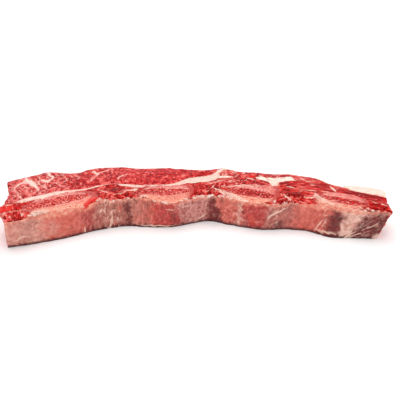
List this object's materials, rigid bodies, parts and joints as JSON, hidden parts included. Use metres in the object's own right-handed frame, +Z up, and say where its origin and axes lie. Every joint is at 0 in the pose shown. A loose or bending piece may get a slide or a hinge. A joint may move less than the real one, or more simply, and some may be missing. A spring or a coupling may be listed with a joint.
{
  "type": "raw beef short ribs",
  "caption": "Raw beef short ribs in one thin strip, sawn across the rib bones: round bone sections, marbled lean, a seam of fat and the chest membrane along one side.",
  "frame": {"origin": "bottom centre of the bounding box, on the surface that the strip lies on", "axes": "+X along the strip, +Y from the chest membrane towards the outer muscles, +Z up through the slice"},
  "size_m": [0.2726, 0.0992, 0.0206],
  "materials": {
    "sawn_bone": "wet sawn bone with red marrow",
    "raw_lean": "moist raw lean",
    "raw_fat": "satin raw fat",
    "chest_membrane": "wet silver skin"
  },
  "bodies": {
    "root": {"rib_1": "sawn_bone", "rib_2": "sawn_bone", "rib_3": "sawn_bone", "rib_4": "sawn_bone", "rib_muscle_0": "raw_lean", "rib_muscle_1": "raw_lean", "rib_muscle_2": "raw_lean", "rib_muscle_3": "raw_lean", "rib_muscle_4": "raw_lean", "end_tongue": "raw_lean", "long_muscle": "raw_lean", "flank_muscle": "raw_lean", "fat_seam": "raw_fat", "fat_cap": "raw_fat", "membrane": "chest_membrane"}
  },
  "joints": []
}
